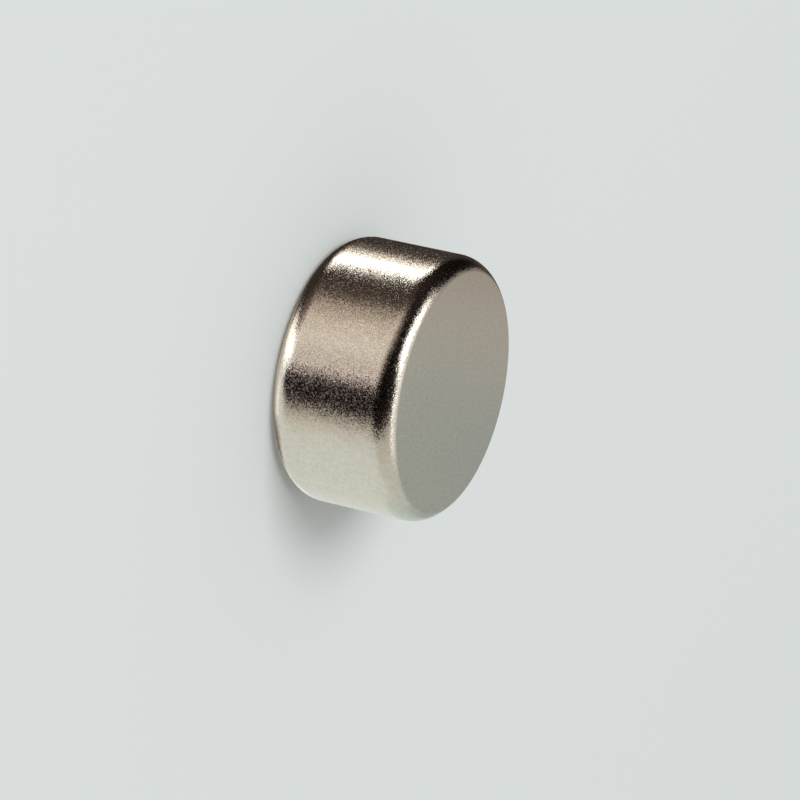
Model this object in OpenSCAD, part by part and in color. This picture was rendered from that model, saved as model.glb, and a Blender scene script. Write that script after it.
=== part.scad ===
// Cylinder magnet: a solid disc of sintered magnet alloy, ground, tumbled and nickel plated.
// It stands on one pole face, with its axis along Z and its origin at the middle of that face.

/* [Magnet] */
// Diameter over the plating
diameter = 12; // [6:0.5:40]
// Thickness from pole face to pole face
thickness = 6; // [3:0.5:40]

/* [Tumbled edge] */
// Radius of the broad rounding that leaves the side
side_rounding = 1.2; // [0.2:0.05:1.4]
// Radius of the tight rounding that meets the pole face
face_rounding = 0.15; // [0.05:0.01:0.2]
// How far the broad rounding turns before the tight one takes over, in degrees
rounding_turn = 55; // [30:1:75]

/* [Hidden] */
$fn = 180;

radius = diameter / 2;
// Centre of the tight rounding, as seen from the centre of the broad one
centre_shift = (side_rounding - face_rounding) * [cos(rounding_turn), sin(rounding_turn)];
// How far the worn edge runs down the side and in across the face
edge_drop = centre_shift.y + face_rounding;
edge_inset = side_rounding - centre_shift.x;
face_radius = radius - edge_inset;
nickel = [0.74, 0.72, 0.68];

// A slice of a disc between two angles that are at most 90 degrees apart
module pie(r, from, to) {
    reach = r * sqrt(2);
    intersection() {
        circle(r = r);
        polygon([
            [0, 0],
            reach * [cos(from), sin(from)],
            reach * [cos((from + to) / 2), sin((from + to) / 2)],
            reach * [cos(to), sin(to)]
        ]);
    }
}

// The worn corner of the half section at the upper face: two arcs that flow into each other
module worn_corner() {
    translate([radius - side_rounding, thickness - edge_drop]) {
        pie(side_rounding, 0, rounding_turn);
        translate(centre_shift) pie(face_rounding, rounding_turn, 90);
    }
}

// Half of the section through the axis
module half_section() {
    square([face_radius, thickness]);
    translate([0, edge_drop]) square([radius, thickness - 2 * edge_drop]);
    worn_corner();
    translate([0, thickness]) mirror([0, 1]) worn_corner();
}

// The whole magnet, turned from its half section in one piece
module magnet() {
    color(nickel) rotate_extrude() half_section();
}

magnet();
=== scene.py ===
# %% [markdown]
# # A nickel-plated cylinder magnet
#
# The real object is a solid disc of sintered magnet alloy. It was pressed, ground to size,
# tumbled with ceramic stones until its edges were round, and then plated with nickel. The
# plating is bright, but it follows every grain of the alloy under it, so the side glitters.
#
# The lesson loads the exact solid and builds a small studio around it, because a bright metal
# shows its surroundings. Then it lathes a fine mesh over the solid and plates it with nickel.
# The magnet's size could be typed in here. It is read from the solid, so that both agree.

# %% Load the exact solid
import math

import bpy
from mathutils import Matrix, Vector, noise


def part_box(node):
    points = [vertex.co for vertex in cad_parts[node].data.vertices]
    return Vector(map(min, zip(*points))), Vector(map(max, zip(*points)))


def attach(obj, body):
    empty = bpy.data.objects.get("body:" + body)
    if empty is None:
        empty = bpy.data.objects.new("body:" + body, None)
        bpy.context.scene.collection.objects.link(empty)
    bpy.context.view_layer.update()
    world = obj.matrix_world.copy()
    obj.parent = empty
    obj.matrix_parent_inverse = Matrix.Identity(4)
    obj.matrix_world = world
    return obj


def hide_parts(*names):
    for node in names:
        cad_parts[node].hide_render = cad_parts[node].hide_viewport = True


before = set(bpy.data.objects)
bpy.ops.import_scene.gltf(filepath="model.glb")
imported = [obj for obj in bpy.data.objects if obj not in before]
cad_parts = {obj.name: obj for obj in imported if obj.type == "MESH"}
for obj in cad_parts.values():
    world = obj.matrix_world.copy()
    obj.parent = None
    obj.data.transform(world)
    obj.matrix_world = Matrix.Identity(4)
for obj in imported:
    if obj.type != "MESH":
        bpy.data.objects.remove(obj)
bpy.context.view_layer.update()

MM = 0.001
low_corner, high_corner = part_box("magnet")
RADIUS = (high_corner.x - low_corner.x) / 2
HEIGHT = high_corner.z - low_corner.z
print("the frame has these nodes:", list(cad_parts))
print(f"the magnet is {2 * RADIUS / MM:.2f} mm across and {HEIGHT / MM:.2f} mm high")

# %% [markdown]
# ## The camera's directions
#
# The camera looks at the magnet from a little above its top face and is rolled on its side, so
# that the axis of the magnet runs across the render. Three rotation angles could be typed in,
# but nobody can see what they mean. Here three directions are written as the camera sees them,
# with x to the right, y up and z back to the lens: the magnet's axis, the way out of its side
# to the lens, and the way out of its side that comes nearest to up. A matrix with these three
# then turns what the camera sees into the magnet's own frame.

# %% Turn the camera
AXIS_FROM_LENS = math.radians(65.15)
AXIS_BELOW_LEVEL = math.radians(12.79)
FRONT = Vector((0, -1, 0))
UP_SIDE = Vector((-1, 0, 0))
AXIS = Vector((0, 0, 1))

seen_axis = Vector((
    math.sin(AXIS_FROM_LENS) * math.cos(AXIS_BELOW_LEVEL),
    -math.sin(AXIS_FROM_LENS) * math.sin(AXIS_BELOW_LEVEL),
    math.cos(AXIS_FROM_LENS),
))
to_lens = Vector((0, 0, 1))
seen_front = (to_lens - seen_axis * seen_axis.dot(to_lens)).normalized()
seen_up = seen_front.cross(seen_axis)

as_seen = Matrix((seen_up, seen_front, seen_axis))
in_frame = Matrix((UP_SIDE, FRONT, AXIS)).transposed()
camera_turn = in_frame @ as_seen
print("the axis leans", round(90 - math.degrees(AXIS_FROM_LENS), 2), "degrees to the lens")

# %% [markdown]
# ## The camera's place and lens
#
# A long lens, far away, keeps the two ends of a small part nearly the same size. The place could
# be found by trying. It follows from where the middle of the upper face should come in the
# render, in pixels from its left and its top, and from how long the magnet's radius is there.

# %% Place the camera
RENDER_SIDE = 800
FACE_CENTRE = (453.79, 392.25)
RADIUS_IN_PIXELS = 136.56
DISTANCE_IN_RADII = 29
SENSOR = 36.0
NEAREST_SEEN = 1 * MM
FARTHEST_SEEN = 10

seen_face_centre = RADIUS * Vector((
    (FACE_CENTRE[0] - RENDER_SIDE / 2) / RADIUS_IN_PIXELS,
    (RENDER_SIDE / 2 - FACE_CENTRE[1]) / RADIUS_IN_PIXELS,
    -DISTANCE_IN_RADII,
))
camera_place = HEIGHT * AXIS - camera_turn @ seen_face_centre

camera_data = bpy.data.cameras.new("studio_camera")
camera_data.sensor_width = SENSOR
camera_data.lens = SENSOR * RADIUS_IN_PIXELS * DISTANCE_IN_RADII / RENDER_SIDE
camera_data.clip_start = NEAREST_SEEN
camera_data.clip_end = FARTHEST_SEEN
camera = bpy.data.objects.new("studio_camera", camera_data)
camera.matrix_world = Matrix.Translation(camera_place) @ camera_turn.to_4x4()
bpy.context.scene.collection.objects.link(camera)
bpy.context.scene.camera = camera
print(f"lens {camera_data.lens:.1f} mm, camera {camera_place.length / MM:.0f} mm away")

# %% [markdown]
# ## Two helpers
#
# Colours are easiest to choose as hex codes, which are written for screens (sRGB). Blender
# calculates with linear light, so one function turns every code into linear numbers. Shader
# nodes could be added with the mouse, but a script can be read again. A second function adds
# any node, sets its options, and fills or links its sockets in one readable call.

# %% Helpers for colours and nodes


def linear(code):
    """Turn an sRGB hex code such as #D3CDC2 into four linear numbers."""
    channels = [int(code[place:place + 2], 16) / 255 for place in (1, 3, 5)]
    # The sRGB curve is straight near black, and a power of the number for all other tones.
    light = [c / 12.92 if c <= 0.04045 else ((c + 0.055) / 1.055) ** 2.4 for c in channels]
    return (*light, 1.0)


def add_node(tree, kind, inputs=None, **settings):
    """Add one node, set its options, and fill or link its input sockets."""
    node = tree.nodes.new(kind)
    for option, value in settings.items():
        setattr(node, option, value)
    for socket, value in (inputs or {}).items():
        if isinstance(value, bpy.types.NodeSocket):
            tree.links.new(value, node.inputs[socket])
        else:
            node.inputs[socket].default_value = value
    return node


print("mid grey in linear light:", [round(part, 3) for part in linear("#808080")])

# %% [markdown]
# ## The pale surroundings
#
# A pale world stands for walls with white emulsion paint. A box of real walls would do, but a
# world needs no corners. Camera, glossy and transmission rays see it at full strength, so metal
# reflects the same background that the render shows. All other rays get a part of white, and a
# soft lamp gives the rest, so that the floor keeps a soft shadow. The Standard view transform
# shows every tone as it was calculated, so that white walls stay white.

# %% Set up the world
WALL_COLOUR = "#E9EEEA"
WORLD_SHARE = 0.55

world = bpy.data.worlds.new("pale_walls")
world.use_nodes = True
world.node_tree.nodes.clear()
ray = add_node(world.node_tree, "ShaderNodeLightPath")
camera_or_glossy = add_node(
    world.node_tree, "ShaderNodeMath",
    {0: ray.outputs["Is Camera Ray"], 1: ray.outputs["Is Glossy Ray"]},
    operation="MAXIMUM",
)
looked_at = add_node(
    world.node_tree, "ShaderNodeMath",
    {0: camera_or_glossy.outputs[0], 1: ray.outputs["Is Transmission Ray"]},
    operation="MAXIMUM",
)
tint = add_node(
    world.node_tree, "ShaderNodeMix",
    {"Factor": looked_at.outputs[0], "A": (WORLD_SHARE, WORLD_SHARE, WORLD_SHARE, 1.0),
     "B": linear(WALL_COLOUR)},
    data_type="RGBA",
)
walls = add_node(
    world.node_tree, "ShaderNodeBackground",
    {"Color": tint.outputs["Result"], "Strength": 1.0},
)
add_node(world.node_tree, "ShaderNodeOutputWorld", {"Surface": walls.outputs[0]})
bpy.context.scene.world = world
bpy.context.scene.view_settings.view_transform = "Standard"
print("the world gives", WORLD_SHARE, "of the light that falls on the floor")

# %% [markdown]
# ## The floor
#
# The magnet stands on a board with matt emulsion paint. Such paint has no shine, so the eye
# sees only its pale colour and the soft shadow. A square would do, but a disc has no corners
# that could come into view. The floor is hidden from glossy rays: the metal is meant to mirror
# cards all around, and the floor would stand in front of the lower ones.

# %% Build the floor
FLOOR_RADIUS = 400 * MM
FLOOR_SIDES = 128
FLOOR_COLOUR = "#DDE2E1"

floor_rim = [
    (FLOOR_RADIUS * math.cos(math.tau * side / FLOOR_SIDES),
     FLOOR_RADIUS * math.sin(math.tau * side / FLOOR_SIDES), 0)
    for side in range(FLOOR_SIDES)
]
floor_mesh = bpy.data.meshes.new("matt_floor")
floor_mesh.from_pydata(floor_rim, [], [range(FLOOR_SIDES)])
floor_paint = bpy.data.materials.new("matt_paint")
floor_paint.use_nodes = True
paint_inputs = floor_paint.node_tree.nodes["Principled BSDF"].inputs
paint_inputs["Base Color"].default_value = linear(FLOOR_COLOUR)
paint_inputs["Roughness"].default_value = 1.0
paint_inputs["Specular IOR Level"].default_value = 0.0
floor_mesh.materials.append(floor_paint)
floor = bpy.data.objects.new("matt_floor", floor_mesh)
bpy.context.scene.collection.objects.link(floor)
floor.visible_glossy = False
print("the floor is", 2 * FLOOR_RADIUS / MM, "mm across")

# %% [markdown]
# ## Directions around the magnet
#
# Everything else in the studio hangs on an imaginary dome, below the floor as well. Places
# could be typed in as x, y and z, but a lamp or a card is easier to think of as a direction.
# A bearing of 0 is on the camera's side and 90 is where the top of the render points. A height
# is counted in degrees from level, up to 90 above the upper face.

# %% A function for directions


def direction(bearing, height):
    """Unit vector from the magnet towards a bearing and a height, both in degrees."""
    turn = math.radians(bearing)
    rise = math.radians(height)
    level = FRONT * math.cos(turn) + UP_SIDE * math.sin(turn)
    return level * math.cos(rise) + AXIS * math.sin(rise)


print("straight up is", tuple(round(part, 3) for part in direction(0, 90)))

# %% [markdown]
# ## The lamp
#
# One square softbox gives the floor its soft shadow. Its power could be found by trying. It is
# worked out: a lamp of P watts, at a distance d and a height h, makes a matt white floor
# P sin(h) / (pi d)^2 bright, where 1 is white. Together with the world it comes to just 1.

# %% Hang the lamp
LAMP_BEARING = 45
LAMP_HEIGHT = 56
LAMP_DISTANCE = 1500 * MM
LAMP_SIDE = 800 * MM
LAMP_SHARE = 1 - WORLD_SHARE

lamp_data = bpy.data.lights.new("soft_lamp", "AREA")
lamp_data.shape = "SQUARE"
lamp_data.size = LAMP_SIDE
lamp_data.energy = (
    LAMP_SHARE * (math.pi * LAMP_DISTANCE) ** 2 / math.sin(math.radians(LAMP_HEIGHT))
)
to_lamp = direction(LAMP_BEARING, LAMP_HEIGHT)
lamp = bpy.data.objects.new("soft_lamp", lamp_data)
lamp.location = to_lamp * LAMP_DISTANCE
lamp.rotation_euler = to_lamp.to_track_quat("Z", "Y").to_euler()
lamp.visible_glossy = False
bpy.context.scene.collection.objects.link(lamp)
print(f"the lamp has {lamp_data.energy:.2f} W")

# %% [markdown]
# ## Reflection cards: ceiling and walls
#
# A product studio lights bright metal with what it reflects: white softboxes for the highlights
# and black flags for the dark bands that show its shape. A panorama of a room would do it too,
# but cards can be moved one by one, until every band lies where it should.
#
# A card is a piece of the dome, written as its name, distance, strength and a row of posts. A
# post has a bearing, the lowest and the highest height of the card there, and the colours at
# those two heights, or one colour for both. Heights and colours are blended from post to post.
# A strength above 1 is brighter than white, as a lamp is. Later cards hang a little nearer, so
# they cover the earlier ones.
#
# The first cards are large and pale. The inner half of the rounded edge mirrors the ceiling.
# Towards the bottom of the render the edge mirrors a wall, and the side mirrors a warm step.

# %% Describe the ceiling and the walls
FAR = 1000 * MM

WALLS = [
    ("ceiling", FAR, 1.0, [
        (-180, 40, 89.9, "#C6C8C0", "#F4F0EA"),
        (-125, 40, 89.9, "#C6C8C0", "#F4F0EA"),
        (-85, 44, 89.9, "#D0CCC6", "#FAF6F0"),
        (0, 44, 89.9, "#C8C0BA", "#FFFAF4"),
        (90, 40, 89.9, "#C8C0BA", "#FFFAF4"),
        (125, 34, 89.9, "#A8A09C", "#FFFAF4"),
        (150, 34, 89.9, "#A8A29C", "#F8F4EE"),
        (180, 40, 89.9, "#BEBAB2", "#F4F0EA"),
    ]),
    ("warm_step", FAR, 1.0, [
        (-64, -50, 2, "#E8EAE4"),
        (-54, -50, 2, "#E0DAD0"),
        (-41, -50, 2, "#C6BAB0"),
    ]),
    ("left_wall", FAR, 1.0, [
        (-126, 4, 44, "#DEE4E0", "#D0D4CC"),
        (-94, 2, 48, "#E2E4DE", "#D6D6CE"),
        (-76, 2, 51, "#D6D6CC", "#D4D2CA"),
        (-50, 2, 54, "#D3CFC4", "#D0CCC4"),
    ]),
]
print(len(WALLS), "cards for the ceiling and the walls")

# %% [markdown]
# ## Reflection cards: the room behind
#
# The top of the magnet's side mirrors what is behind and below: a dim brown room with a soft
# glow at its border, and one thin lit rim, which gives the far end a fine light line there. The
# room could be plain grey, but shades of brown keep metal from looking like plastic.

# %% Describe the room behind
ROOM = [
    ("room_under", FAR, 1.0, [
        (50, -76, 4, "#62564E"),
        (72, -76, 2, "#443A34"),
        (90, -76, -2, "#382F2B", "#403630"),
        (130, -76, 4, "#382F2B", "#463E3A"),
        (150, -72, 6, "#3A322E", "#403834"),
        (160, -66, 6, "#443C38", "#4A423C"),
        (170, -60, 4, "#625A54", "#5E564E"),
        (177, -56, 0, "#746C64", "#6E665E"),
        (184, -50, -8, "#8C847C", "#8A827A"),
    ]),
    ("side_glow", FAR, 1.0, [
        (158, -40, -18, "#28221E"),
        (165, -40, -18, "#38302C", "#3E3630"),
        (172, -40, -18, "#524C46", "#605A52"),
        (181, -40, -18, "#726A60", "#928C86"),
    ]),
    ("rim_light", FAR, 1.4, [
        (180, -31, -26, "#FFFFFF"),
        (189, -31, -26, "#FFFFFF"),
        (197, -32, -27, "#E4E4E0"),
        (212, -32, -28, "#DCDCD8"),
    ]),
]
print(len(ROOM), "cards for the room behind")

# %% [markdown]
# ## Reflection cards: steps beside the room
#
# A dark room next to pale walls would give the metal one hard border. Steps of brown and grey
# lie beside and under the room, and most of them get lighter away from it. The edge of the far
# end mirrors the low ones. A brown gap, low on the camera's side, darkens the rest of that edge.

# %% Describe the steps
STEPS = [
    ("brown_low", FAR, 1.0, [
        (180, -54, -35, "#E0D4C8", "#E8DCD0"),
        (183, -54, -35, "#D0C4B8", "#D8CCC0"),
        (187, -56, -35, "#786C62"),
        (204, -58, -40, "#766A60"),
        (222, -64, -50, "#A0968A", "#ACA298"),
        (245, -64, -54, "#C0BAB0", "#CECAC0"),
    ]),
    ("grey_step", FAR, 1.0, [
        (182, -23, 6, "#D6E4E2", "#A8B2AE"),
        (205, -23, 8, "#D8E8E6", "#B4C0BC"),
        (225, -20, 20, "#DCE8E4", "#C6D0CA"),
        (245, -18, 30, "#DEE6E0", "#D2D8D2"),
    ]),
    ("grey_low", FAR, 1.0, [
        (150, -80, -60, "#C8C0B6", "#988E84"),
        (170, -80, -52, "#C8C0B6", "#C8BEB2"),
        (180, -80, -50, "#C8C0B6", "#C8BEB0"),
        (195, -80, -50, "#C8C0B6", "#C8BEB0"),
        (206, -76, -57, "#F4ECE0", "#E0D6CA"),
        (228, -72, -62, "#FFF8EE", "#E0D6CA"),
    ]),
    ("brown_gap", FAR, 1.0, [
        (6, -62, -34, "#A09488"),
        (26, -62, -30, "#94887E"),
        (40, -62, -24, "#80746A"),
        (60, -62, -20, "#5A4E46"),
    ]),
]
print(len(STEPS), "cards for the steps beside the room")

# %% [markdown]
# ## Reflection cards: the light side
#
# The light middle of the side mirrors a warm beige wall. A smooth wall would make it look like
# paint, because every crystal would find the same tone. So the wall is slatted, lighter and
# darker by turns. The crystals lean by more than a slat is wide: no stripes can be seen, but
# each crystal finds another slat and glitters. Two bright cards lie far below, and they light
# up the edge of the far end.

# %% Describe the beige wall and the bright cards below
SLATTED_CARD = "beige_wall"
SLAT_CONTRAST = 0.8
STEPS_PER_SLAT = 3

LIGHT_SIDE = [
    ("beige_wall", FAR, 1.0, [
        (-11, -44, -11, "#DCCCC4", "#B8A89E"),
        (4, -44, -11, "#F6E8E0", "#C8B8AE"),
        (16, -42, -3, "#FFFCF4", "#F0E4D8"),
        (30, -36, 5, "#F8EADE", "#F0E2D6"),
        (43, -31, 9, "#EADACC"),
        (56, -27, 9, "#AC9C90", "#BCAC9E"),
    ]),
    ("bright_under", FAR, 2.0, [
        (-22, -89.9, -68, "#D0C8C0"),
        (-16, -89.9, -60, "#F8F4F0", "#D0C8C0"),
        (-5, -89.9, -47, "#FFFFFF"),
        (8, -89.9, -39, "#FFFFFF"),
        (18, -89.9, -44, "#FFFFFF"),
        (33, -89.9, -60, "#FFFFFF", "#ECE6E0"),
        (50, -89.9, -67, "#F8F4F0", "#E4DCD4"),
        (70, -89.9, -70, "#F4EEE8", "#E4DCD4"),
        (114, -89.9, -74, "#F4EEE8", "#E4DCD4"),
        (150, -89.9, -82, "#E8E0D8", "#D8D0C8"),
    ]),
    ("second_under", FAR, 1.5, [
        (-132, -70, -63, "#FFFCF8", "#D8D0C4"),
        (-118, -77, -64, "#FFFCF8", "#FFF8EE"),
        (-98, -82, -68, "#FFFCF8", "#F8F0E6"),
        (-78, -84, -74, "#FFFCF8", "#E0D8D0"),
    ]),
]
print(len(LIGHT_SIDE), "cards for the light side")

# %% [markdown]
# ## Reflection cards: bands on the side
#
# On a cylinder a card becomes a band along the axis. One black stripe makes the dark band, and
# a narrow strip softbox makes the bright one. A softbox of the brightness of white would look
# grey in the metal. This one is over four times as bright, so the band has a clean white core
# with soft borders. Two thin lines, one bright and one dark, lie between the black stripe and
# the beige wall, as the folds of a curtain would.

# %% Describe the bands
BANDS = [
    ("thin_dark_line", FAR, 1.0, [
        (1, -42, -8, "#8A7A72", "#6A5C56"),
        (6, -42, -6, "#B0A096", "#94857A"),
    ]),
    ("thin_bright_line", FAR, 1.6, [
        (-7, -44, -10, "#D8CCC8", "#B0A09A"),
        (-4, -44, -10, "#FFF6F4", "#E8D8D2"),
        (0, -44, -9, "#FFF6F4", "#E8D8D2"),
    ]),
    ("dark_stripe", FAR, 1.0, [
        (-42.5, -54, -14, "#3C2E30", "#20161A"),
        (-37.5, -62, -12, "#32242A", "#180E14"),
        (-24, -62, -12, "#2E2026", "#160C12"),
        (-8, -48, -10, "#342628", "#34282A"),
    ]),
    ("strip_softbox", FAR, 4.4, [
        (92, -32, -24, "#3A3430"),
        (95, -34, -21, "#807870"),
        (100, -36, -20, "#FFFFFF"),
        (104, -39, -9, "#FFFFFF"),
        (109, -41, -9, "#BAB4AE", "#AAA29A"),
        (119, -42, -17, "#685E58", "#3A3228"),
        (126, -43, -23, "#3C322A", "#181410"),
        (137, -41, -26, "#0C0A08", "#060404"),
    ]),
]
print(len(BANDS), "cards for the bands on the side")

# %% [markdown]
# ## Reflection cards: the flag
#
# The rounded edge mirrors half of the dome in a ribbon about one millimetre wide. A black flag
# that runs around the front gives it a dark band. A straight flag would cross the edge. This
# one follows it for most of its way, so its heights change from post to post. A foot and an
# edge in warm tones let the flag begin softly.

# %% Describe the flag
FLAG = [
    ("black_flag", FAR, 1.0, [
        (-51, -2, 46, "#5E5852"),
        (-44, -12, 57, "#2A2424", "#2E2828"),
        (-35, -20, 62, "#050304", "#181212"),
        (-12, -13, 65, "#080506", "#120C0C"),
        (0, -12, 66, "#060404", "#120C0C"),
        (14, 2, 50, "#0C0808", "#120C0C"),
        (31, 10, 46, "#0E0A0A", "#181212"),
        (46, 12, 45, "#120C0C", "#181212"),
        (62, 6, 45, "#2A211E", "#181212"),
        (78, -4, 42, "#342A26", "#181212"),
        (92, -14, 34, "#342A26", "#181212"),
        (110, -10, 43, "#201816", "#0E0A0A"),
        (125, -9, 38, "#140E0E", "#0E0A0A"),
        (140, -9, 24, "#140E0E", "#0E0A0A"),
        (154, -9, 8, "#2A2422", "#2E2826"),
    ]),
    ("flag_foot", FAR, 1.0, [
        (-20, -8, 4, "#2A2220", "#0A0606"),
        (-2, -10, 2, "#40342E", "#0A0606"),
        (10, -8, 8, "#807066", "#120C0C"),
        (18, -6, 15, "#A09084", "#120C0C"),
        (31, -3, 19, "#B0A296", "#120C0C"),
        (46, 0, 17, "#CCBCAE", "#120C0C"),
        (58, -4, 14, "#786A60", "#120C0C"),
        (66, -8, 12, "#40362F", "#1E1818"),
    ]),
    ("warm_edge", FAR, 1.0, [
        (-49, 26, 50, "#6A544C"),
        (-40, 30, 54, "#40302C"),
        (-26, 40, 62, "#2A1C1A"),
    ]),
]
print(len(FLAG), "cards for the dark band of the edge")

# %% [markdown]
# ## Reflection cards: the window
#
# Above the flag, a narrow window gives the edge a white line close to the pole face. It could
# be a lamp, but a card can follow the edge as the flag does. It is dimmer at both ends, so that
# the line runs out softly.

# %% Describe the window
WINDOW = [
    ("window", FAR, 4.0, [
        (-112, 47.5, 50.5, "#8C8C88"),
        (-98, 51.5, 55, "#BCBCBA"),
        (-72, 58.5, 61.5, "#ECECEC"),
        (-45, 66, 69.5, "#FCFCFE"),
        (-15, 70.5, 74, "#F5F5F7"),
        (0, 72.5, 77, "#C8C8CA"),
        (10, 62.5, 75, "#CCCCCE"),
        (24, 53, 71, "#CECECE"),
        (50, 48, 66.5, "#E0E0E0"),
        (73, 49.5, 63.5, "#E0E0E0"),
        (88, 43.5, 60, "#E0DEDC"),
        (102, 46, 51.5, "#A09A96"),
    ]),
]
print(len(WINDOW), "card for the white line of the edge")

# %% [markdown]
# ## Reflection cards: a near backdrop
#
# A flat mirror shows only one small part of a far card, so the pole face would have a single
# tone. A backdrop close to the magnet is seen from a different angle at each end of the face,
# and its tones run from warm grey at the top to cool grey at the bottom.

# %% Describe the backdrop
NEAR = 36 * MM

BACKDROP = [
    ("backdrop", NEAR, 1.0, [
        (117, 39, 50, "#7C746E", "#A09A94"),
        (129, 30, 48, "#7C746E", "#A09A94"),
        (138, 20, 46, "#7C746E", "#A09A94"),
        (153, 8, 46, "#827A72", "#9E968E"),
        (161, 3, 46, "#8A827A", "#A49C94"),
        (171, -1, 46, "#BAB4AE", "#C4BEB8"),
        (176, -3, 46, "#B4B4B0", "#C0C0BA"),
        (183, -4, 46, "#9CA8A8", "#B4BAB6"),
        (206, -6, 46, "#AAB4B2", "#B8BCB8"),
        (217, 4, 46, "#B8BEB8", "#BCC0BA"),
        (234, 26, 46, "#CACEC8", "#C8C8C2"),
        (246, 36, 46, "#D2D4CE", "#CECEC8"),
    ]),
]
CARDS = WALLS + ROOM + STEPS + LIGHT_SIDE + BANDS + FLAG + WINDOW + BACKDROP
print(len(CARDS), "cards in all")

# %% [markdown]
# ## From posts to meshes
#
# A card could be a flat plane with a painted texture. A grid on the dome needs no texture: its
# corners carry the blended colours as a colour attribute, and the grid is fine enough that the
# blend looks smooth. Two functions lay out one card: the first finds its columns, and the
# second its corners and their colours.

# %% Lay out a card
CARD_STEP = 2.0
MIDDLE = AXIS * HEIGHT / 2


def blend(first, last, share):
    """Mix two rows of numbers."""
    return [a + (b - a) * share for a, b in zip(first, last)]


def card_columns(posts):
    """For every column of the grid: the posts on both sides of it, and its share of the way."""
    columns = []
    for first, last in zip(posts, posts[1:]):
        steps = max(1, round((last[0] - first[0]) / CARD_STEP))
        columns += [(first, last, step / steps) for step in range(steps)]
    columns.append((posts[-2], posts[-1], 1.0))
    return columns


def card_corners(distance, columns, rows, contrast):
    """Corners of the grid on the dome, column by column, and one list with their colours."""
    corners = []
    colours = []
    for column, (first, last, share) in enumerate(columns):
        slat = 1 + contrast * math.cos(math.pi * column / STEPS_PER_SLAT)
        bearing, low, high = blend(first[:3], last[:3], share)
        low_colour = blend(linear(first[3]), linear(last[3]), share)
        high_colour = blend(linear(first[-1]), linear(last[-1]), share)
        for row in range(rows + 1):
            height = low + (high - low) * row / rows
            corners.append(distance * direction(bearing, height) + MIDDLE)
            colours += [slat * part for part in blend(low_colour, high_colour, row / rows)]
    return corners, colours


print("a card has a corner every", CARD_STEP, "degrees")

# %% [markdown]
# ## Light on the cards
#
# A softbox is lit from inside, and a black flag is cloth that gives nearly nothing back. Paint
# would need lamps in front of every card. Emission needs none, and it takes the colours
# straight from the colour attribute.

# %% Make the cards glow


def card_light(name, strength):
    """A material that glows in the colours of the card's corners."""
    glow = bpy.data.materials.new(name)
    glow.use_nodes = True
    glow.node_tree.nodes.clear()
    paint = add_node(glow.node_tree, "ShaderNodeVertexColor", layer_name="glow")
    light = add_node(
        glow.node_tree, "ShaderNodeEmission",
        {"Color": paint.outputs["Color"], "Strength": strength},
    )
    add_node(glow.node_tree, "ShaderNodeOutputMaterial", {"Surface": light.outputs[0]})
    return glow


print("the brightest card gives", max(card[2] for card in CARDS), "times the light of white")

# %% [markdown]
# ## Hanging the cards
#
# Real cards hang from stands, and a studio has to keep them out of the camera's view.
# Here only glossy rays see them: they are mirrored in the metal, and they neither light the
# floor nor shade it. Each card hangs a little nearer than the one before, so that two cards
# never lie in the same place, where they would flicker.

# %% Hang the cards
CARD_GAP = 0.002


def hang_card(name, distance, strength, posts, contrast):
    """Make one card as a grid on the dome, and show it to glossy rays only."""
    tallest = max(post[2] - post[1] for post in posts)
    rows = max(1, round(tallest / CARD_STEP))
    columns = card_columns(posts)
    corners, colours = card_corners(distance, columns, rows, contrast)
    starts = [
        column * (rows + 1) + row for column in range(len(columns) - 1) for row in range(rows)
    ]
    faces = [(start, start + 1, start + rows + 2, start + rows + 1) for start in starts]
    mesh = bpy.data.meshes.new(name)
    mesh.from_pydata(corners, [], faces)
    mesh.color_attributes.new("glow", "FLOAT_COLOR", "POINT").data.foreach_set("color", colours)
    mesh.materials.append(card_light(name, strength))
    card = bpy.data.objects.new(name, mesh)
    card.visible_camera = False
    card.visible_diffuse = False
    card.visible_shadow = False
    card.visible_transmission = False
    card.visible_volume_scatter = False
    bpy.context.scene.collection.objects.link(card)


for order, (name, distance, strength, posts) in enumerate(CARDS):
    contrast = SLAT_CONTRAST if name == SLATTED_CARD else 0.0
    hang_card(name, distance * (1 - order * CARD_GAP), strength, posts, contrast)
print(len(CARDS), "cards hang around the magnet")

# %% [markdown]
# ## The shape
#
# The magnet is round, so it is built like work on a lathe: a half section is carried round in
# small steps. A cylinder with a bevel would be quicker, but tumbling rounds a corner unevenly.
# A broad rounding leaves the side, and a tight one meets the flat pole face. The section is
# written with two arcs that flow into each other.

# %% The half section
SIDE_ROUNDING = 1.2 * MM
FACE_ROUNDING = 0.15 * MM
ROUNDING_TURN = 55
SIDE_ROWS = 40
BROAD_ROWS = 14
TIGHT_ROWS = 5


def arc(centre, radius, first, last, rows):
    """Points on an arc from one angle to another, in degrees, without the first point."""
    return [
        (centre[0] + radius * math.cos(math.radians(angle)),
         centre[1] + radius * math.sin(math.radians(angle)))
        for angle in (first + (last - first) * row / rows for row in range(1, rows + 1))
    ]


rounding_turn = math.radians(ROUNDING_TURN)
broad_centre = (
    RADIUS - SIDE_ROUNDING,
    HEIGHT - FACE_ROUNDING - (SIDE_ROUNDING - FACE_ROUNDING) * math.sin(rounding_turn),
)
tight_centre = (
    broad_centre[0] + (SIDE_ROUNDING - FACE_ROUNDING) * math.cos(rounding_turn),
    HEIGHT - FACE_ROUNDING,
)
half_height = HEIGHT / 2
side_half = broad_centre[1] - half_height
upper_half = [
    (RADIUS, half_height + side_half * row / (SIDE_ROWS // 2))
    for row in range(SIDE_ROWS // 2 + 1)
]
upper_half += arc(broad_centre, SIDE_ROUNDING, 0, ROUNDING_TURN, BROAD_ROWS)
upper_half += arc(tight_centre, FACE_ROUNDING, ROUNDING_TURN, 90, TIGHT_ROWS)
lower_half = [(across, HEIGHT - up) for across, up in reversed(upper_half[1:])]
section = lower_half + upper_half
FACE_RADIUS = section[-1][0]
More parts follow.
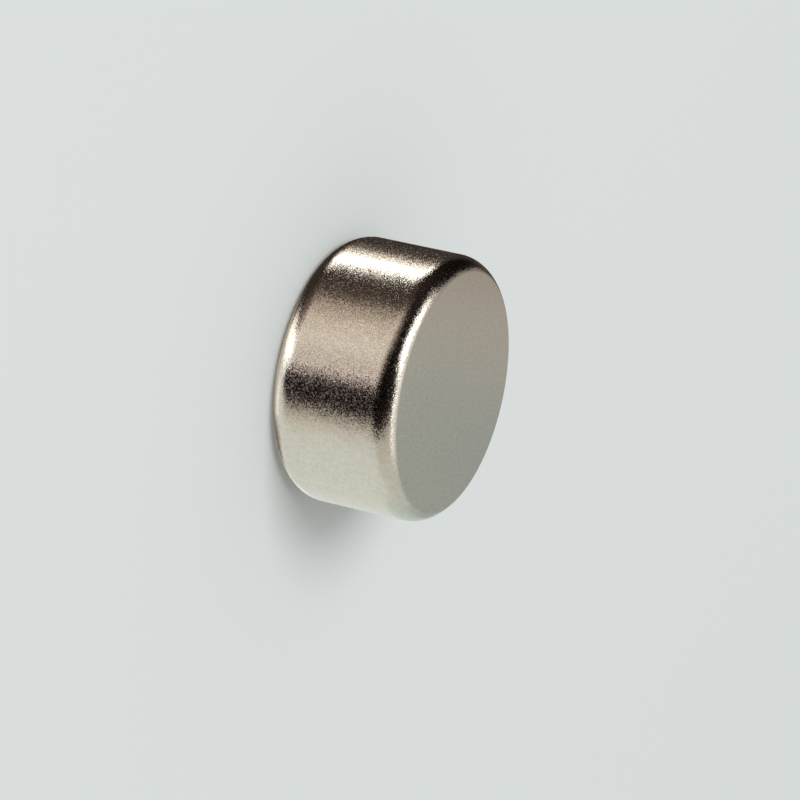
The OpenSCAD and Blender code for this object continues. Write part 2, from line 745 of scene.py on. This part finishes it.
print(len(section), "points in the section; flat face", round(FACE_RADIUS / MM, 3), "mm in radius")

# %% [markdown]
# ## Carrying the section round
#
# Every point of the section becomes a level ring of points, and neighbouring rings are joined
# with four-sided faces. Blender's Spin tool does the same. A loop is used, because the pole
# faces have to share the points of the last rings.

# %% Lathe the side
SECTORS = 6
FACE_RINGS = 60
AROUND = SECTORS * FACE_RINGS


def ring(radius, height, count):
    """Points evenly spaced on a level circle."""
    return [
        Vector((radius * math.cos(math.tau * step / count),
                radius * math.sin(math.tau * step / count), height))
        for step in range(count)
    ]


def lathe_side(points, faces):
    """Carry the section round and join its rings with four-sided faces."""
    for across, up in section:
        points += ring(across, up, AROUND)
    for row in range(len(section) - 1):
        for step in range(AROUND):
            following = (step + 1) % AROUND
            below = row * AROUND
            above = below + AROUND
            faces.append((below + step, below + following, above + following, above + step))


points = []
faces = []
lathe_side(points, faces)
print(len(faces), "faces around the side and the edges")

# %% [markdown]
# ## The pole faces
#
# A flat disc made of long thin slices shades badly at its middle. Here each ring towards the
# middle has six points fewer, one for each sector, so that all its triangles stay nearly
# equal. The innermost ring is a single point.

# %% Fill the pole faces


def fill_face(points, faces, rim_start, height, upwards):
    """Fill a pole face with rings that lose one point in each sector, down to its middle."""
    outer_start = rim_start
    for outer in range(FACE_RINGS, 0, -1):
        inner = outer - 1
        inner_start = len(points)
        inner_count = max(1, SECTORS * inner)
        points += ring(FACE_RADIUS * inner / FACE_RINGS, height, inner_count)
        for sector in range(SECTORS):
            for step in range(outer):
                far = outer_start + (sector * outer + step) % (SECTORS * outer)
                far_next = outer_start + (sector * outer + step + 1) % (SECTORS * outer)
                near = inner_start + (sector * inner + step) % inner_count
                near_back = inner_start + (sector * inner + step - 1) % inner_count
                faces.append((far, far_next, near) if upwards else (far_next, far, near))
                if step:
                    faces.append((near_back, far, near) if upwards else (far, near_back, near))
        outer_start = inner_start


fill_face(points, faces, 0, 0.0, upwards=False)
fill_face(points, faces, (len(section) - 1) * AROUND, HEIGHT, upwards=True)
print(len(points), "points and", len(faces), "faces")

# %% [markdown]
# ## Slight unevenness
#
# Grinding and tumbling never leave a perfect cylinder. Swells of about a micrometre are too
# small to see as shape, but a mirror doubles every slope, so they make the reflections waver.
# A bump map could fake them. The points are moved instead, so that the swells are in the mesh.

# %% Move the points by smooth noise
SWELLS = [
    # width of a swell, and its height
    (1.6 * MM, 0.0012 * MM),
    (0.5 * MM, 0.0004 * MM),
]


def unevenness(point):
    """Height of the surface swells at a point."""
    return sum(
        height * noise.noise(point / width, noise_basis="PERLIN_ORIGINAL")
        for width, height in SWELLS
    )


magnet_mesh = bpy.data.meshes.new("plated_magnet")
magnet_mesh.from_pydata(points, [], faces)
magnet_mesh.validate()
swollen = [
    vertex.co + vertex.normal * unevenness(vertex.co) for vertex in magnet_mesh.vertices
]
magnet_mesh.vertices.foreach_set("co", [number for point in swollen for number in point])
magnet_mesh.update()
magnet_mesh.shade_smooth()
magnet = bpy.data.objects.new("plated_magnet", magnet_mesh)
bpy.context.scene.collection.objects.link(magnet)
print(sum(len(face.vertices) - 2 for face in magnet_mesh.polygons), "triangles")

# %% [markdown]
# ## Nickel plating: three regions
#
# Electroplated nickel is a slightly warm grey mirror. On a sintered alloy it grows a fine
# grain, which gives the side its glitter. The pole faces were ground flat before they were
# plated, so they are satin and calm to the eye. The rounded edges were rubbed in the tumbler,
# so they are bright.
#
# Three materials would show a seam at the borders. One material covers the whole skin, and
# the share of a point's normal that lies along the axis tells the regions apart: it is 0 on
# the side and 1 on a pole face. A function slides any number from region to region.

# %% Start the nickel
EDGE_STARTS = 0.02
EDGE_FULL = 0.3
FACE_STARTS = 0.9
FACE_FULL = 1.0

nickel = bpy.data.materials.new("bright_nickel_plate")
nickel.use_nodes = True
tree = nickel.node_tree
tree.nodes.clear()
place = add_node(tree, "ShaderNodeTexCoord")
facing = add_node(tree, "ShaderNodeSeparateXYZ", {0: place.outputs["Normal"]})
along_axis = add_node(tree, "ShaderNodeMath", {0: facing.outputs["Z"]}, operation="ABSOLUTE")


def by_region(side, edge, face):
    """A number that changes from the side to the rounded edge and on to the flat face."""
    side_to_edge = add_node(
        tree, "ShaderNodeMapRange",
        {"Value": along_axis.outputs[0], "From Min": EDGE_STARTS, "From Max": EDGE_FULL,
         "To Min": side, "To Max": edge},
    )
    edge_to_face = add_node(
        tree, "ShaderNodeMapRange",
        {"Value": along_axis.outputs[0], "From Min": FACE_STARTS, "From Max": FACE_FULL,
         "To Min": side_to_edge.outputs[0], "To Max": face},
    )
    return edge_to_face.outputs[0]


print("the edge starts where", EDGE_STARTS, "of the normal lies along the axis")

# %% [markdown]
# ## Nickel plating: leaning crystals
#
# Each crystal of the plating leans its own way and mirrors another spot of the studio. A bump
# map could make them lean, but it depends on how large the part is in the render. Here fine
# noise is added to the normal itself, so that the lean is the same from everywhere.
#
# Real crystals are some micrometres wide, which is far too fine to show. They are drawn
# 0.036 mm wide, which is nearly one pixel of the render, so that they still glitter.

# %% Lean the crystals on the side and the edges
GRAIN_WIDTH = 0.036 * MM
GRAIN_LEAN = 0.33
EDGE_LEAN = 0.33
HALF = (0.5, 0.5, 0.5)

crystal_noise = add_node(
    tree, "ShaderNodeTexNoise",
    {"Vector": place.outputs["Object"], "Scale": 1 / GRAIN_WIDTH, "Detail": 0.0},
)
crystal_way = add_node(
    tree, "ShaderNodeVectorMath",
    {0: crystal_noise.outputs["Color"], 1: HALF}, operation="SUBTRACT",
)
crystal_lean = add_node(
    tree, "ShaderNodeVectorMath",
    {0: crystal_way.outputs["Vector"], "Scale": by_region(GRAIN_LEAN, EDGE_LEAN, 0.0)},
    operation="SCALE",
)
print("crystals are", round(GRAIN_WIDTH / MM, 3), "mm wide on the side")

# %% [markdown]
# ## Nickel plating: the ground faces
#
# The pole faces were ground before they were plated, and the grinding left its direction in
# the surface. The same method is used with longer grains and a much smaller lean, which looks
# satin. These grains, too, are drawn larger than the scratches of a real grinding wheel.

# %% Lean the grains on the faces and put both leans together
FACE_GRAIN_WIDTH = 0.05 * MM
FACE_GRAIN_LENGTH = 0.11 * MM
FACE_LEAN = 0.06

ground_place = add_node(
    tree, "ShaderNodeVectorMath",
    {0: place.outputs["Object"], 1: (1 / FACE_GRAIN_WIDTH, 1 / FACE_GRAIN_LENGTH, 0.0)},
    operation="MULTIPLY",
)
ground_noise = add_node(
    tree, "ShaderNodeTexNoise",
    {"Vector": ground_place.outputs["Vector"], "Scale": 1.0, "Detail": 0.0},
)
ground_way = add_node(
    tree, "ShaderNodeVectorMath",
    {0: ground_noise.outputs["Color"], 1: HALF}, operation="SUBTRACT",
)
ground_lean = add_node(
    tree, "ShaderNodeVectorMath",
    {0: ground_way.outputs["Vector"], "Scale": by_region(0.0, 0.0, FACE_LEAN)},
    operation="SCALE",
)
both_leans = add_node(
    tree, "ShaderNodeVectorMath",
    {0: crystal_lean.outputs["Vector"], 1: ground_lean.outputs["Vector"]}, operation="ADD",
)
surface = add_node(tree, "ShaderNodeNewGeometry")
leaning = add_node(
    tree, "ShaderNodeVectorMath",
    {0: surface.outputs["Normal"], 1: both_leans.outputs["Vector"]}, operation="ADD",
)
grain_normal = add_node(
    tree, "ShaderNodeVectorMath", {0: leaning.outputs["Vector"]}, operation="NORMALIZE",
)
print("face grains are", round(FACE_GRAIN_LENGTH / MM, 3), "mm long")

# %% [markdown]
# ## Nickel plating: rough crystals
#
# Some crystals are rough. A rough crystal spreads its reflection, so it glints where the smooth
# ones around it show something dark, and it is hardly seen where everything around is light.
# Polished nickel has a roughness of about 0.1, and satin nickel of about 0.25. Noise would
# blur the crystals into clouds, so Voronoi cells are used: each has one random number, and a
# high power makes the rough ones few. They are drawn 0.04 mm wide, coarser than real ones.

# %% Roughen some of the crystals
SIDE_ROUGHNESS = 0.12
EDGE_ROUGHNESS = 0.12
FACE_ROUGHNESS = 0.26
CRYSTAL_WIDTH = 0.04 * MM
ROUGH_CRYSTAL = 0.34
ROUGH_EDGE_CRYSTAL = 0.17
ROUGH_ARE_FEW = 4.0
ROUGH_ARE_LIGHTER = 0.25
ROUGH_EDGE_ARE_LIGHTER = 0.125

cells = add_node(
    tree, "ShaderNodeTexVoronoi",
    {"Vector": place.outputs["Object"], "Scale": 1 / CRYSTAL_WIDTH},
)
cell_number = add_node(tree, "ShaderNodeSeparateColor", {0: cells.outputs["Color"]})
rough_share = add_node(
    tree, "ShaderNodeMath",
    {0: cell_number.outputs["Blue"], 1: ROUGH_ARE_FEW}, operation="POWER",
)
roughness = add_node(
    tree, "ShaderNodeMath",
    {0: rough_share.outputs[0], 1: by_region(ROUGH_CRYSTAL, ROUGH_EDGE_CRYSTAL, 0.0),
     2: by_region(SIDE_ROUGHNESS, EDGE_ROUGHNESS, FACE_ROUGHNESS)},
    operation="MULTIPLY_ADD",
)
crystal_shade = add_node(
    tree, "ShaderNodeMath",
    {0: rough_share.outputs[0], 1: by_region(ROUGH_ARE_LIGHTER, ROUGH_EDGE_ARE_LIGHTER, 0.0),
     2: 1.0},
    operation="MULTIPLY_ADD",
)
print("a crystal's roughness is", SIDE_ROUGHNESS, "to", SIDE_ROUGHNESS + ROUGH_CRYSTAL)

# %% [markdown]
# ## Nickel plating: clouds and grinding marks
#
# The plating bath leaves faint clouds a quarter of a millimetre wide, and the ground faces keep
# faint marks under the plate. Both are only slight changes of shade, so two noises multiply the
# colour. The marks are stretched along the grinding direction.

# %% Shade the clouds and the marks
MOTTLE_WIDTH = 0.24 * MM
MOTTLE = 0.14
FACE_MOTTLE = 0.03
MARK_WIDTH = 0.12 * MM
MARK_LENGTH = 0.28 * MM
MARK_SHADE = 0.12

clouds = add_node(
    tree, "ShaderNodeTexNoise",
    {"Vector": place.outputs["Object"], "Scale": 1 / MOTTLE_WIDTH, "Detail": 2.0},
)
cloud_shade = add_node(
    tree, "ShaderNodeMapRange",
    {"Value": clouds.outputs["Fac"],
     "To Min": by_region(1 - MOTTLE, 1 - MOTTLE, 1 - FACE_MOTTLE),
     "To Max": by_region(1 + MOTTLE, 1 + MOTTLE, 1 + FACE_MOTTLE)},
)
mark_place = add_node(
    tree, "ShaderNodeVectorMath",
    {0: place.outputs["Object"], 1: (1 / MARK_WIDTH, 1 / MARK_LENGTH, 0.0)},
    operation="MULTIPLY",
)
marks = add_node(
    tree, "ShaderNodeTexNoise",
    {"Vector": mark_place.outputs["Vector"], "Scale": 1.0, "Detail": 1.0},
)
mark_shade = add_node(
    tree, "ShaderNodeMapRange",
    {"Value": marks.outputs["Fac"],
     "To Min": by_region(1.0, 1.0, 1 - MARK_SHADE),
     "To Max": by_region(1.0, 1.0, 1 + MARK_SHADE)},
)
shades = [cloud_shade, crystal_shade, mark_shade]
print("clouds change the shade by", MOTTLE, "and marks by", MARK_SHADE)

# %% [markdown]
# ## Nickel plating: pits with painted shade
#
# Where a pore of the alloy lay open, the plating has a pin-prick pit. Three of them are near
# the rim of the upper face. Small holes could be modelled, but at less than a tenth of a
# millimetre the eye sees only dark dots. So the shade inside each pit is painted: the colour is
# darkened around three points.

# %% Paint the shade of the pits
PIT_RADIUS = 0.08 * MM
PIT_MIDDLE = 0.4 * PIT_RADIUS
# painted shade: the share of the colour that is left in the middle of a pit
PIT_PAINTED_SHADE = 0.72
PITS = [
    # distance from the axis towards the top of the render, and towards the camera
    (-5.05 * MM, -0.4 * MM),
    (-5.3 * MM, 0.35 * MM),
    (-4.3 * MM, 2.9 * MM),
]

for towards_top, towards_camera in PITS:
    pit_place = UP_SIDE * towards_top + FRONT * towards_camera + AXIS * HEIGHT
    away = add_node(
        tree, "ShaderNodeVectorMath",
        {0: place.outputs["Object"], 1: pit_place}, operation="DISTANCE",
    )
    # painted shade of a pit: darkest near its middle, fading out at its radius
    pit_painted_shade = add_node(
        tree, "ShaderNodeMapRange",
        {"Value": away.outputs["Value"], "From Min": PIT_MIDDLE, "From Max": PIT_RADIUS,
         "To Min": PIT_PAINTED_SHADE, "To Max": 1.0},
    )
    shades.append(pit_painted_shade)
print(len(PITS), "pits on the upper pole face")

# %% [markdown]
# ## Nickel plating: the metal
#
# All shades are multiplied and dim the colour of nickel, a grey with a touch of yellow: the
# clouds, the rough crystals, the grinding marks and the painted shade of the pits. The
# colour of a metal is the colour of its reflection. Metallic is 1, as for every bare metal,
# and the IOR stays at its default, because the base colour says how much a metal mirrors.

# %% Finish the nickel
NICKEL_COLOUR = "#D3CDC2"

shade = shades[0].outputs[0]
for next_shade in shades[1:]:
    product = add_node(
        tree, "ShaderNodeMath", {0: shade, 1: next_shade.outputs[0]}, operation="MULTIPLY",
    )
    shade = product.outputs[0]
plate = add_node(
    tree, "ShaderNodeVectorMath",
    {0: linear(NICKEL_COLOUR)[:3], "Scale": shade}, operation="SCALE",
)
metal = add_node(
    tree, "ShaderNodeBsdfPrincipled",
    {"Base Color": plate.outputs["Vector"], "Metallic": 1.0,
     "Roughness": roughness.outputs[0], "Normal": grain_normal.outputs["Vector"]},
)
add_node(tree, "ShaderNodeOutputMaterial", {"Surface": metal.outputs[0]})
magnet_mesh.materials.append(nickel)
print("nickel made with", len(tree.nodes), "nodes")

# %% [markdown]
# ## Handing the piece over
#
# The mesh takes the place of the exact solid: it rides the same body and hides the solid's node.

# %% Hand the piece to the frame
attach(magnet, "root")
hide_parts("magnet")
